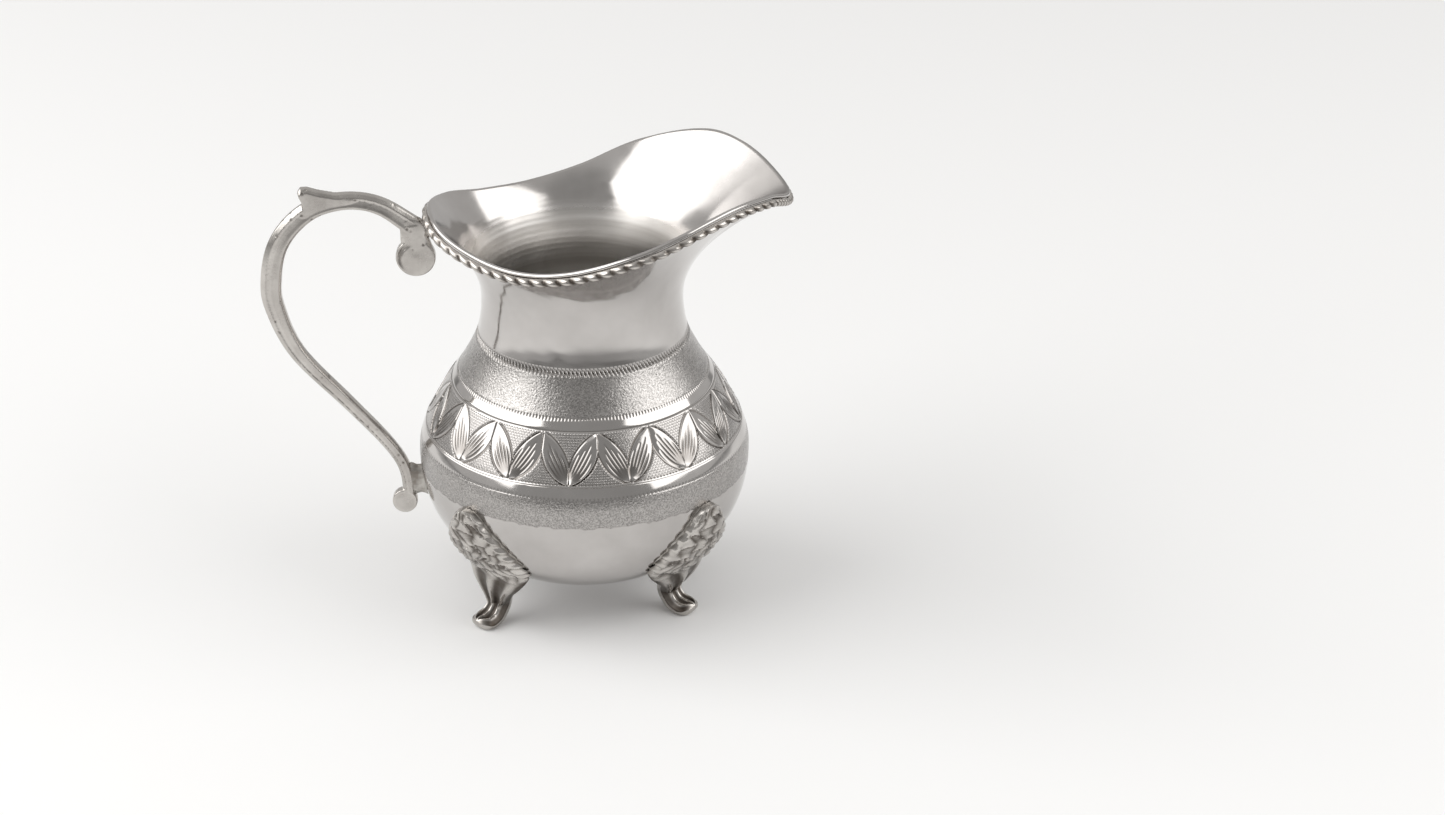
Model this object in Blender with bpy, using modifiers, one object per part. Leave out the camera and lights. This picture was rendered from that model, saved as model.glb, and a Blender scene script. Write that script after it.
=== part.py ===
"""A silver cream jug on four cast feet, in metres, with +Z up.

The jug stands on z = 0 and the centre of its bounding box is over the origin. The pouring lip
points along +X and the handle along -X. Every shape is worked out about the upright axis of
the turned body, and one empty carries them all to their place.
"""

import math

import bmesh
import bpy
from mathutils import Vector

MM = 0.001

# Turned body
BELLY_RADIUS = 36.2 * MM
BELLY_HEIGHT = 36.1 * MM
BASE_HEIGHT = 7.5 * MM
BASE_SQUARENESS = 2.33
NECK_RADIUS = 21.9 * MM
NECK_HEIGHT = 72.0 * MM
SHOULDER_KEYS = (
    (36.1 * MM, 36.2 * MM),
    (42.0 * MM, 34.7 * MM),
    (50.0 * MM, 30.3 * MM),
    (57.0 * MM, 25.9 * MM),
    (64.0 * MM, 22.8 * MM),
    (72.0 * MM, 21.9 * MM),
)
WALL = 1.0 * MM
SEAM_HEIGHT = 42.0 * MM
GAP = 0.3 * MM

# The edge of the drawn-out lip: degrees round from the spout, distance from the axis, height
RIM_KEYS = (
    (0, 44.8 * MM, 95.2 * MM),
    (12, 41.8 * MM, 97.8 * MM),
    (27, 39.1 * MM, 99.5 * MM),
    (43, 37.5 * MM, 99.0 * MM),
    (68, 34.3 * MM, 94.2 * MM),
    (91, 29.6 * MM, 89.3 * MM),
    (116, 28.0 * MM, 87.2 * MM),
    (141, 29.0 * MM, 88.0 * MM),
    (161, 31.9 * MM, 90.3 * MM),
    (180, 33.0 * MM, 92.0 * MM),
)
LIP_ROLL = math.radians(18)
BORDER_RADIUS = 1.0 * MM

# Handle: x from the axis, height, thickness in its own plane
HANDLE_WIDTH = 2.8 * MM
HANDLE_KEYS = (
    (-36.3 * MM, 87.8 * MM, 4.5 * MM),
    (-43.0 * MM, 92.3 * MM, 4.0 * MM),
    (-49.5 * MM, 93.6 * MM, 3.9 * MM),
    (-56.5 * MM, 92.2 * MM, 4.2 * MM),
    (-61.7 * MM, 88.5 * MM, 4.4 * MM),
    (-65.6 * MM, 82.8 * MM, 4.5 * MM),
    (-67.2 * MM, 75.6 * MM, 4.6 * MM),
    (-66.8 * MM, 68.5 * MM, 4.4 * MM),
    (-62.2 * MM, 57.5 * MM, 3.6 * MM),
    (-51.9 * MM, 45.7 * MM, 3.0 * MM),
    (-45.4 * MM, 38.3 * MM, 2.8 * MM),
    (-41.3 * MM, 32.8 * MM, 2.7 * MM),
    (-39.5 * MM, 28.6 * MM, 2.7 * MM),
    (-38.9 * MM, 23.6 * MM, 2.6 * MM),
)
VOLUTE_STEM = ((-36.0 * MM, 87.4 * MM), (-35.2 * MM, 81.5 * MM))
VOLUTE_STEM_THICKNESS = 5.6 * MM
UPPER_VOLUTE = (-35.8 * MM, 80.5 * MM, 4.35 * MM)
LOWER_VOLUTE = (-39.9 * MM, 21.5 * MM, 2.8 * MM)
THUMB_SPUR = (
    (-54.5 * MM, 92.5 * MM),
    (-59.4 * MM, 96.3 * MM),
    (-60.6 * MM, 95.7 * MM),
    (-60.1 * MM, 90.0 * MM),
)

# Cast feet: degrees round from the spout of the leaf and of the toe, and the toe's distance from
# the axis. The legs splay, so that each toe stands nearer to the handle or the spout than its leaf.
FEET = {
    "foot_rear_right": (228, 221, 28.0 * MM),
    "foot_front_right": (318, 331, 24.5 * MM),
    "foot_rear_left": (132, 139, 28.0 * MM),
    "foot_front_left": (42, 29, 24.5 * MM),
}
# Leaf of a foot, from its tip down: height on the bowl, half width
LEAF_KEYS = (
    (32.6 * MM, 1.6 * MM),
    (31.2 * MM, 3.7 * MM),
    (28.8 * MM, 5.5 * MM),
    (25.8 * MM, 8.0 * MM),
    (22.4 * MM, 10.0 * MM),
    (19.0 * MM, 10.8 * MM),
    (16.4 * MM, 9.4 * MM),
)
LEAF_HALF_THICKNESS = 0.75 * MM
LEAF_STANDOFF = 0.9 * MM
# Upper leg, between the leaf and the ankle: share of the way, half width, half thickness
UPPER_LEG_KEYS = (
    (0.38, 6.0 * MM, 1.5 * MM),
    (0.70, 3.9 * MM, 1.8 * MM),
)
# Ankle and toe: distance out from the point of touch, height, half width, half thickness
TOE_KEYS = (
    (-3.2 * MM, 5.8 * MM, 2.9 * MM, 2.0 * MM),
    (-3.0 * MM, 3.6 * MM, 2.7 * MM, 1.9 * MM),
    (-1.2 * MM, 1.7 * MM, 2.9 * MM, 1.7 * MM),
    (1.4 * MM, 1.1 * MM, 3.1 * MM, 1.4 * MM),
    (3.4 * MM, 2.0 * MM, 2.4 * MM, 1.0 * MM),
)
FOOT_SIDES = 14

# Solder
PAD_THICKNESS = 0.35 * MM
PAD_HALF_WIDTH = 4.0 * MM
PAD_LOW = 18.0 * MM
PAD_HIGH = 27.0 * MM
LOWER_SOLDER_RADIUS = 1.5 * MM
UPPER_SOLDER_CENTRE = (-30.4 * MM, 0, 86.0 * MM)
UPPER_SOLDER_RADII = (2.2, 1.6, 1.4)

ROUND_STEPS = 48

# How far the jug reaches each way from the body's axis, which puts that axis off the box's middle
HANDLE_REACH = 69.67 * MM
SPOUT_REACH = 45.51 * MM
AXIS_X = (HANDLE_REACH - SPOUT_REACH) / 2


def slopes_of(keys, flat_ends):
    """The slope at each (place, value) key of a smooth curve through them."""
    slopes = []
    for before, after in zip([keys[0], *keys[:-1]], [*keys[1:], keys[-1]]):
        slopes.append((after[1] - before[1]) / (after[0] - before[0]))
    if flat_ends:
        slopes[0] = 0.0
        slopes[-1] = 0.0
    return slopes


def smooth(keys, at, flat_ends=True):
    """The value at one place on the smooth curve through (place, value) keys."""
    slopes = slopes_of(keys, flat_ends)
    i = 0
    while i < len(keys) - 2 and at > keys[i + 1][0]:
        i += 1
    (a, low), (b, high) = keys[i], keys[i + 1]
    t = min(max((at - a) / (b - a), 0.0), 1.0)
    rise = (b - a) * ((t**3 - 2 * t**2 + t) * slopes[i] + (t**3 - t**2) * slopes[i + 1])
    return low + (high - low) * (3 * t**2 - 2 * t**3) + rise


def body_radius(z):
    """Outer radius of the turned body at height z, up to the neck."""
    if z < BELLY_HEIGHT:
        drop = (BELLY_HEIGHT - z) / (BELLY_HEIGHT - BASE_HEIGHT)
        return BELLY_RADIUS * max(1 - drop**BASE_SQUARENESS, 0) ** (1 / BASE_SQUARENESS)
    return smooth(SHOULDER_KEYS, z)


def body_normal(z):
    """Outward normal of the turned body at height z, as (outward, up)."""
    step = 0.2 * MM
    slope = (body_radius(z + step) - body_radius(z - step)) / (2 * step)
    return Vector((1, -slope)).normalized()


def rim_point(angle):
    """The middle of the sheet's edge at an angle round from the spout, as (outward, up)."""
    degrees = abs(math.degrees(math.remainder(angle, math.tau)))
    radius = smooth([(key[0], key[1]) for key in RIM_KEYS], degrees)
    height = smooth([(key[0], key[2]) for key in RIM_KEYS], degrees)
    return Vector((radius, height))


def lip_direction(angle):
    """The way the sheet runs as it reaches the edge, as (outward, up)."""
    chord = rim_point(angle) - Vector((NECK_RADIUS, NECK_HEIGHT))
    steepness = math.atan2(chord.y, chord.x) - LIP_ROLL
    return Vector((math.cos(steepness), math.sin(steepness)))


def lip_point(angle, t):
    """A point of the flared lip, from the neck at t = 0 to the edge at t = 1."""
    start = Vector((NECK_RADIUS, NECK_HEIGHT))
    end = rim_point(angle)
    reach = (end - start).length
    leave = Vector((0, reach))
    arrive = lip_direction(angle) * reach
    ease = 3 * t**2 - 2 * t**3
    bend = leave * (t**3 - 2 * t**2 + t) + arrive * (t**3 - t**2)
    return start + (end - start) * ease + bend


def around(angle, outward_up):
    """A point in space from its angle round the axis and its (outward, up)."""
    out, up = outward_up
    return Vector((out * math.cos(angle), out * math.sin(angle), up))


def place(mesh_or_curve, name, material, collection, parent):
    obj = bpy.data.objects.new(name, mesh_or_curve)
    mesh_or_curve.materials.append(material)
    collection.objects.link(obj)
    obj.parent = parent
    return obj


def mesh_from(bm, name):
    mesh = bpy.data.meshes.new(name)
    bm.to_mesh(mesh)
    bm.free()
    mesh.shade_smooth()
    return mesh


def grid_mesh(name, rows, closed, caps=False):
    """A mesh through rows of points, from low to high and turning with the angle if it is open."""
    bm = bmesh.new()
    verts = [[bm.verts.new(point) for point in row] for row in rows]
    count = len(verts[0])
    for lower, upper in zip(verts, verts[1:]):
        for i in range(count if closed else count - 1):
            j = (i + 1) % count
            bm.faces.new((lower[i], lower[j], upper[j], upper[i]))
    if caps:
        bm.faces.new(list(reversed(verts[0])))
        bm.faces.new(verts[-1])
        bmesh.ops.recalc_face_normals(bm, faces=bm.faces)
    return mesh_from(bm, name)


def thicken(obj, thickness):
    """Gives an open surface a wall inwards from its outer face."""
    solid = obj.modifiers.new("Wall", "SOLIDIFY")
    solid.thickness = thickness
    solid.offset = -1
    solid.use_even_offset = True
    return obj


def lower_bowl(material, collection, parent):
    """The spun bowl below the seam: a profile turned about the axis, run from top to bottom."""
    rows = 11
    shoulder_rows = 3
    bm = bmesh.new()
    verts = []
    top = SEAM_HEIGHT - GAP / 2
    for i in range(shoulder_rows):
        z = top + (BELLY_HEIGHT - top) * i / shoulder_rows
        verts.append(bm.verts.new((body_radius(z), 0, z)))
    for i in range(rows):
        z = BASE_HEIGHT + (BELLY_HEIGHT - BASE_HEIGHT) * math.cos(math.pi / 2 * i / rows) ** 1.2
        verts.append(bm.verts.new((body_radius(z), 0, z)))
    verts.append(bm.verts.new((0, 0, BASE_HEIGHT)))
    for first, second in zip(verts, verts[1:]):
        bm.edges.new((first, second))
    bowl = place(mesh_from(bm, "body_lower_bowl"), "body_lower_bowl", material, collection, parent)
    screw = bowl.modifiers.new("Turn", "SCREW")
    screw.steps = ROUND_STEPS
    screw.render_steps = ROUND_STEPS
    screw.use_merge_vertices = True
    screw.merge_threshold = 0.0001
    thicken(bowl, WALL)
    return bowl


def upper_shell(material, collection, parent):
    """The spun shoulder and neck above the seam, with its mouth drawn out into a lip."""
    neck_rows = 8
    lip_rows = 7
    angles = [math.tau * i / ROUND_STEPS for i in range(ROUND_STEPS)]
    foot = SEAM_HEIGHT + GAP / 2
    rows = []
    for i in range(neck_rows):
        z = foot + (NECK_HEIGHT - foot) * i / neck_rows
        rows.append([around(angle, (body_radius(z), z)) for angle in angles])
    for i in range(lip_rows + 1):
        rows.append([around(angle, lip_point(angle, i / lip_rows)) for angle in angles])
    mesh = grid_mesh("body_upper_shell", rows, closed=True)
    return thicken(place(mesh, mesh.name, material, collection, parent), WALL)


def rim_border(material, collection, parent):
    """The cast wire that stiffens the lip, lying against the sheet just under its edge."""
    curve = bpy.data.curves.new("rim_border", "CURVE")
    curve.dimensions = "3D"
    curve.bevel_depth = BORDER_RADIUS
    curve.bevel_resolution = 1
    spline = curve.splines.new("POLY")
    count = 64
    spline.points.add(count - 1)
    spline.use_cyclic_u = True
    for i in range(count):
        angle = math.tau * i / count
        run = lip_direction(angle)
        outward = Vector((run.y, -run.x))
        centre = rim_point(angle) - run * BORDER_RADIUS + outward * (BORDER_RADIUS + GAP)
        spline.points[i].co = (*around(angle, centre), 1)
    return place(curve, "rim_border", material, collection, parent)


def handle_line(t):
    """A point on the handle's centre line and its thickness there, for t from 0 to 1."""
    at = t * (len(HANDLE_KEYS) - 1)
    return [smooth(list(enumerate(column)), at, flat_ends=False) for column in zip(*HANDLE_KEYS)]


def band_outline():
    """The two edges of the handle's scroll, as one closed outline in its plane."""
    steps = 48
    outer = []
    inner = []
    for i in range(steps + 1):
        t = i / steps
        x, z, thickness = handle_line(t)
        ahead = handle_line(min(t + 0.004, 1))
        behind = handle_line(max(t - 0.004, 0))
        run = Vector((ahead[0] - behind[0], ahead[1] - behind[1])).normalized()
        side = Vector((-run.y, run.x)) * thickness / 2
        outer.append(Vector((x, z)) + side)
        inner.append(Vector((x, z)) - side)
    return outer + inner[::-1]


def stem_outline():
    """The short bar that carries the upper volute."""
    top, bottom = (Vector(point) for point in VOLUTE_STEM)
    run = (bottom - top).normalized()
    side = Vector((-run.y, run.x)) * VOLUTE_STEM_THICKNESS / 2
    return [top + side, top - side, bottom - side, bottom + side]


def disc_outline(x, z, radius):
    sides = 28
    turns = [math.tau * i / sides for i in range(sides)]
    return [Vector((x + radius * math.cos(a), z + radius * math.sin(a))) for a in turns]


def plate(outline, name):
    """A flat outline in the handle's plane, given the handle's width."""
    bm = bmesh.new()
    near = [bm.verts.new((p.x, -HANDLE_WIDTH / 2, p.y)) for p in outline]
    face = bm.faces.new(near)
    moved = bmesh.ops.extrude_face_region(bm, geom=[face])["geom"]
    grown = [item for item in moved if isinstance(item, bmesh.types.BMVert)]
    bmesh.ops.translate(bm, vec=(0, HANDLE_WIDTH, 0), verts=grown)
    bmesh.ops.recalc_face_normals(bm, faces=bm.faces)
    return mesh_from(bm, name)


def join(obj, other, operation):
    cut = obj.modifiers.new(other.name, "BOOLEAN")
    cut.operation = operation
    cut.object = other


def handle(material, collection, helpers, parent):
    """The cast scroll handle: a tapering band, two flat volutes and a thumb spur, all one casting."""
    cast = place(plate(band_outline(), "handle"), "handle", material, collection, parent)
    shapes = {
        "volute_stem": stem_outline(),
        "upper_volute": disc_outline(*UPPER_VOLUTE),
        "lower_volute": disc_outline(*LOWER_VOLUTE),
        "thumb_spur": [Vector(corner) for corner in THUMB_SPUR],
    }
    for name, outline in shapes.items():
        shape = place(plate(outline, name), name, material, helpers, parent)
        join(cast, shape, "UNION")
    return cast


def leaf_sections():
    """Sections down the leaf: (outward, up) centre, normal, half width and half thickness."""
    sections = []
    for z, half_width in LEAF_KEYS:
        normal = body_normal(z)
        centre = Vector((body_radius(z), z)) + normal * (LEAF_STANDOFF + LEAF_HALF_THICKNESS)
        sections.append((centre, normal, half_width, LEAF_HALF_THICKNESS))
    return sections


def leg_sections(leaf_end, toe_radius):
    """Sections from the leaf's end to the tip of the toe, as those of the leaf."""
    toe = [(Vector((toe_radius + out, up)), *size) for out, up, *size in TOE_KEYS]
    ankle = toe[0][0]
    upper = [(leaf_end.lerp(ankle, share), *size) for share, *size in UPPER_LEG_KEYS]
    leg = upper + toe
    centres = [leaf_end] + [section[0] for section in leg]
    sections = []
    for i, (centre, half_width, half_thickness) in enumerate(leg):
        run = (centres[min(i + 2, len(leg))] - centres[i]).normalized()
        sections.append((centre, Vector((-run.y, run.x)), half_width, half_thickness))
    return sections


def foot(name, leaf_angle, toe_angle, toe_radius, ground, material, collection, parent):
    """One cast foot: a leaf laid on the bowl, drawn down into a leg that turns out at the toe."""
    leaf = leaf_sections()
    leg = leg_sections(leaf[-1][0], toe_radius)
    rows = []
    for n, (centre, normal, half_width, half_thickness) in enumerate(leaf + leg):
        splay = min(max(n + 1 - len(leaf), 0) / len(UPPER_LEG_KEYS + TOE_KEYS[:1]), 1)
        middle = leaf_angle + (toe_angle - leaf_angle) * splay
        row = []
        for i in range(FOOT_SIDES):
            turn = math.tau * i / FOOT_SIDES
            point = centre + normal * half_thickness * math.sin(turn)
            row.append(around(middle + half_width * math.cos(turn) / centre.x, point))
        rows.append(row)
    mesh = grid_mesh(name, rows, closed=True, caps=True)
    cast = place(mesh, name, material, collection, parent)
    join(cast, ground, "DIFFERENCE")
    return cast


def ground_cutter(material, helpers, parent):
    """A block below the table that leaves each toe a flat underside."""
    bm = bmesh.new()
    bmesh.ops.create_cube(bm, size=1)
    bmesh.ops.scale(bm, vec=(0.12, 0.12, 0.01), verts=bm.verts)
    bmesh.ops.translate(bm, vec=(0, 0, -0.005), verts=bm.verts)
    return place(mesh_from(bm, "ground_cutter"), "ground_cutter", material, helpers, parent)


def foot_solder(name, angle, material, collection, parent):
    """The film of solder between a leaf and the bowl."""
    rows = []
    steps = 5
    for i in range(steps + 1):
        z = PAD_LOW + (PAD_HIGH - PAD_LOW) * i / steps
        surface = Vector((body_radius(z), z)) + body_normal(z) * (GAP + PAD_THICKNESS)
        spread = [PAD_HALF_WIDTH * (2 * j / steps - 1) / surface.x for j in range(steps + 1)]
        rows.append([around(angle + offset, surface) for offset in spread])
    mesh = grid_mesh(name, rows, closed=False)
    return thicken(place(mesh, name, material, collection, parent), PAD_THICKNESS)


def lower_handle_solder(material, collection, parent):
    """The lump of solder that bridges the handle's tail and the bowl."""
    tail_x, height, tail_thickness = HANDLE_KEYS[-2]
    left = -tail_x - tail_thickness / 2 - GAP
    right = body_radius(height) + GAP
    bm = bmesh.new()
    bmesh.ops.create_cone(
        bm,
        cap_ends=True,
        segments=20,
        radius1=LOWER_SOLDER_RADIUS,
        radius2=LOWER_SOLDER_RADIUS * 1.15,
        depth=left - right,
    )
    mesh = mesh_from(bm, "lower_handle_solder")
    lump = place(mesh, mesh.name, material, collection, parent)
    lump.location = (-(left + right) / 2, 0, height)
    lump.rotation_euler = (0, math.pi / 2, 0)
    return lump


def upper_handle_solder(material, collection, parent):
    """The bead of solder in the corner under the lip, where the handle meets the sheet."""
    bm = bmesh.new()
    bmesh.ops.create_uvsphere(bm, u_segments=16, v_segments=10, radius=1 * MM)
    bmesh.ops.scale(bm, vec=UPPER_SOLDER_RADII, verts=bm.verts)
    mesh = mesh_from(bm, "upper_handle_solder")
    bead = place(mesh, mesh.name, material, collection, parent)
    bead.location = UPPER_SOLDER_CENTRE
    return bead


def metal(name, color, roughness):
    material = bpy.data.materials.new(name)
    material.use_nodes = True
    shader = material.node_tree.nodes["Principled BSDF"]
    shader.inputs["Base Color"].default_value = (*color, 1)
    shader.inputs["Metallic"].default_value = 1.0
    shader.inputs["Roughness"].default_value = roughness
    return material


def clear_scene():
    for obj in list(bpy.data.objects):
        bpy.data.objects.remove(obj, do_unlink=True)


def main():
    clear_scene()
    jug = bpy.data.collections.new("cream_jug")
    helpers = bpy.data.collections.new("helpers")
    helpers.hide_render = True
    bpy.context.scene.collection.children.link(jug)
    bpy.context.scene.collection.children.link(helpers)
    axis = bpy.data.objects.new("body_axis", None)
    axis.location = (AXIS_X, 0, 0)
    jug.objects.link(axis)

    spun = metal("spun_silver", (0.80, 0.79, 0.77), 0.16)
    engraved = metal("engraved_silver", (0.74, 0.73, 0.71), 0.30)
    border = metal("border_silver", (0.72, 0.70, 0.67), 0.24)
    cast = metal("cast_silver", (0.66, 0.64, 0.61), 0.28)
    solder = metal("solder", (0.50, 0.48, 0.45), 0.45)

    lower_bowl(spun, jug, axis)
    upper_shell(engraved, jug, axis)
    rim_border(border, jug, axis)
    handle(cast, jug, helpers, axis)
    ground = ground_cutter(cast, helpers, axis)
    for name, (leaf_degrees, toe_degrees, toe_radius) in FEET.items():
        leaf_angle = math.radians(leaf_degrees)
        foot(name, leaf_angle, math.radians(toe_degrees), toe_radius, ground, cast, jug, axis)
        foot_solder(name + "_solder", leaf_angle, solder, jug, axis)
    lower_handle_solder(solder, jug, axis)
    upper_handle_solder(solder, jug, axis)
    for helper in helpers.objects:
        helper.hide_render = True
        helper.display_type = "WIRE"


main()
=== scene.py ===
"""The looks of the silver cream jug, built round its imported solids.

Shapes are worked out in millimetres about the upright axis of the turned body, as grids of
points, and are put in the frame's metres when their mesh is made.
"""

import math

import bpy
import numpy as np
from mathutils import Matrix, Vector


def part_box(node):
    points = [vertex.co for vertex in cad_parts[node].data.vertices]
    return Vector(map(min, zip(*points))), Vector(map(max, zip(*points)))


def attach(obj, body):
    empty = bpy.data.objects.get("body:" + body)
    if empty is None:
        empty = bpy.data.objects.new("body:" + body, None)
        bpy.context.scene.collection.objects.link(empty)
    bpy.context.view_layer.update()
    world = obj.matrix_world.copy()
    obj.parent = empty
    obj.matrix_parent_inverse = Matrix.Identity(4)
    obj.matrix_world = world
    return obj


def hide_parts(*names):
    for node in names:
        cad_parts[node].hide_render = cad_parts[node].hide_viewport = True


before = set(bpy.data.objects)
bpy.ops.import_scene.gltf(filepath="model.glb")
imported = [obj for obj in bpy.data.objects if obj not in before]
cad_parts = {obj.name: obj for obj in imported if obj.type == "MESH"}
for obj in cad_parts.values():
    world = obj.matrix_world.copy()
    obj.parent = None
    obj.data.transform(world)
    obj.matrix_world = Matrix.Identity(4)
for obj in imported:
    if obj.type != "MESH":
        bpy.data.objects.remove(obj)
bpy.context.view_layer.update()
BODY = "root"
METRES = 0.001
TURN = 2 * math.pi


def place_of_axis():
    """Where the bowl's axis stands, and the bowl's widest radius and lowest height in millimetres."""
    low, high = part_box("body_lower_bowl")
    middle = (low + high) / 2
    return np.array((middle.x, middle.y, 0.0)), (high.x - low.x) / 2 / METRES, low.z / METRES


AXIS, BELLY_RADIUS, BASE_HEIGHT = place_of_axis()

# Turned body, in millimetres
BELLY_HEIGHT = 36.1
BASE_SQUARENESS = 2.33
NECK_RADIUS = 21.9
NECK_HEIGHT = 72.0
SHOULDER = np.array(
    ((36.1, BELLY_RADIUS), (42.0, 34.7), (50.0, 30.3), (57.0, 25.9), (64.0, 22.8), (72.0, 21.9))
)
WALL = 1.0
SEAM_HEIGHT = 42.0

# Rings of the engraving, from the bottom up, and how many cuts go round each dotted one
LOWER_MATTE_EDGE = 32.7
LOWER_DOTS = 39.6
LEAF_BAND_FOOT = SEAM_HEIGHT
LEAF_BAND_TOP = 52.4
UPPER_DOTS = 54.6
WRIGGLE = 63.4
WRIGGLE_TOP = 64.4
LOWER_DOT_COUNT = 250
UPPER_DOT_COUNT = 230
WRIGGLE_COUNT = 165
WRIGGLE_PITCH = 0.87
WRIGGLE_LEAN = 0.35

# Lip edge: degrees round from the spout, distance from the axis, height
RIM = np.array(
    (
        (0, 44.8, 95.2),
        (12, 41.8, 97.8),
        (27, 39.1, 99.5),
        (43, 37.5, 99.0),
        (68, 34.3, 94.2),
        (91, 29.6, 89.3),
        (116, 28.0, 87.2),
        (141, 29.0, 88.0),
        (161, 31.9, 90.3),
        (180, 33.0, 92.0),
    )
)
LIP_ROLL = math.radians(18)
BORDER_RADIUS = 1.0
LOBE_PITCH = 3.05

# Leaves. The band slopes, so its surface is longer than its height
LEAF_PAIRS = 16
FIRST_LEAF = math.radians(266)
LEAF_HALF_WIDTH = 2.5
LEAF_BAND_RADIUS = 31.8
LEAF_BAND_SLOPE = 1.145
LEAF_MARGIN = 0.25
PUNCHED_RADIUS = 31.755
# Tilt of each leaf's face in turn, and its veins: place across it, share of its length where it ends
LEAF_TILTS = np.array((0.26, -0.16, 0.08, -0.30, 0.17))
LEAF_VEINS = ((-0.66, 0.55), (-0.36, 0.68), (-0.06, 0.80), (0.26, 0.70), (0.58, 0.57))

# Handle: x from the axis, height, thickness in its own plane
HANDLE_WIDTH = 2.8
HANDLE = np.array(
    (
        (-36.3, 87.8, 4.5),
        (-43.0, 92.3, 4.0),
        (-49.5, 93.6, 3.9),
        (-56.5, 92.2, 4.2),
        (-61.7, 88.5, 4.4),
        (-65.6, 82.8, 4.5),
        (-67.2, 75.6, 4.6),
        (-66.8, 68.5, 4.4),
        (-62.2, 57.5, 3.6),
        (-51.9, 45.7, 3.0),
        (-45.4, 38.3, 2.8),
        (-41.3, 32.8, 2.7),
        (-39.5, 28.6, 2.7),
        (-38.9, 23.6, 2.6),
    )
)
# Half of the band's section, from its outer edge to its inner: across, and out from the middle plane
BAND_SECTION = np.array(
    (
        (-1.0, 0.22),
        (-0.97, 0.42),
        (-0.52, 0.90),
        (-0.46, 0.93),
        (-0.32, 0.80),
        (0.25, 0.89),
        (0.62, 1.0),
        (0.78, 0.92),
        (0.95, 0.60),
        (1.0, 0.25),
    )
)
# Outline of the thumb spur, from the band's outer edge up to its tip and back into the band
THUMB_SPUR = np.array(
    (
        (-48.0, 95.0),
        (-53.0, 95.3),
        (-56.4, 95.9),
        (-58.8, 96.6),
        (-60.2, 96.5),
        (-60.8, 95.6),
        (-60.2, 94.4),
        (-59.8, 93.0),
        (-60.4, 91.0),
        (-58.0, 90.7),
        (-53.0, 92.9),
    )
)
UPPER_VOLUTE = (-35.8, 80.5, 4.35)
LOWER_VOLUTE = (-39.9, 21.5, 2.8)
# Swelling where the band meets the lip, and the top of the stem from there to the upper volute
HANDLE_ROOT = (-36.2, 86.9, 2.8)
STEM_TOP = (-36.5, 88.0)
STEM_HALF_WIDTHS = (2.6, 3.7)
# Solder lumps: from, to, radius, how much taller than wide, seed
HANDLE_SOLDER = {
    "lower_handle_solder": ((-39.0, 26.6), (-33.6, 26.8), 1.5, 3.0, 3),
    "upper_handle_solder": ((-34.6, 86.9), (-28.0, 85.8), 1.4, 1.2, 8),
}

# Feet: degrees round from the spout of the leaf and of the toe, and the toe's distance from the axis
FEET = {
    "foot_rear_right": (228, 221, 28.0),
    "foot_front_right": (318, 331, 24.5),
    "foot_rear_left": (132, 139, 28.0),
    "foot_front_left": (42, 29, 24.5),
}
# Leaf of a foot, from its tip down: height on the bowl, half width
FOOT_LEAF = np.array(
    (
        (33.2, 0.4),
        (32.6, 2.0),
        (31.2, 3.8),
        (28.8, 5.6),
        (25.8, 8.0),
        (22.4, 10.0),
        (19.0, 10.9),
        (16.4, 9.6),
    )
)
FOOT_LEAF_HALF_THICKNESS = 0.75
FOOT_LEAF_STANDOFF = 0.45
# How far the leaf's long edges curl in towards the bowl
LEAF_HUG = 0.85
BEAD_PITCH = 2.3
# Upper leg, between the leaf and the ankle: share of the way, half width, half thickness
UPPER_LEG = ((0.38, 7.4, 1.5), (0.70, 5.0, 1.8))
# Ankle and toe: distance out from the point of touch, height, half width, half thickness
TOE = (
    (-3.2, 5.8, 3.5, 2.0),
    (-3.0, 3.6, 2.7, 1.9),
    (-1.2, 1.7, 2.9, 1.7),
    (1.4, 1.2, 3.1, 1.4),
    (3.4, 2.1, 2.3, 1.0),
)

# Camera and lights
CAMERA_PLACE = (0.0304, -0.8779, 0.4755)
CAMERA_TILT = math.radians(63.83)
CAMERA_LENS = 111.04
LIGHT_DISTANCE = 0.9


def curve_through(keys, at, flat_ends=True):
    """Values at several places on the smooth curve through rows of (place, value)."""
    places, values = np.asarray(keys, float).T
    ahead = np.append(np.arange(1, len(places)), len(places) - 1)
    behind = np.insert(np.arange(len(places) - 1), 0, 0)
    slopes = (values[ahead] - values[behind]) / (places[ahead] - places[behind])
    if flat_ends:
        slopes[[0, -1]] = 0
    at = np.clip(at, places[0], places[-1])
    i = np.clip(np.searchsorted(places, at, side="right") - 1, 0, len(places) - 2)
    gap = places[i + 1] - places[i]
    t = (at - places[i]) / gap
    rise = gap * ((t**3 - 2 * t**2 + t) * slopes[i] + (t**3 - t**2) * slopes[i + 1])
    return values[i] + (values[i + 1] - values[i]) * (3 * t**2 - 2 * t**3) + rise


def step_between(low, high, at):
    """Rises smoothly from 0 at low to 1 at high."""
    t = np.clip((at - low) / (high - low), 0, 1)
    return t * t * (3 - 2 * t)


def hump(at, middle, half_width):
    """1 at the middle, falling smoothly to 0 at the half width."""
    t = np.clip(1 - np.abs(at - middle) / half_width, 0, 1)
    return t * t * (3 - 2 * t)


def body_radius(z):
    drop = np.clip((BELLY_HEIGHT - z) / (BELLY_HEIGHT - BASE_HEIGHT), 0, 1)
    bowl = BELLY_RADIUS * (1 - drop**BASE_SQUARENESS) ** (1 / BASE_SQUARENESS)
    return np.where(z < BELLY_HEIGHT, bowl, curve_through(SHOULDER, z))


def body_normal(z):
    """Outward normals at heights on the turned body, as (outward, up)."""
    slope = (body_radius(z + 0.2) - body_radius(z - 0.2)) / 0.4
    length = np.hypot(1, slope)
    return np.stack((1 / length, -slope / length), -1)


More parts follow.
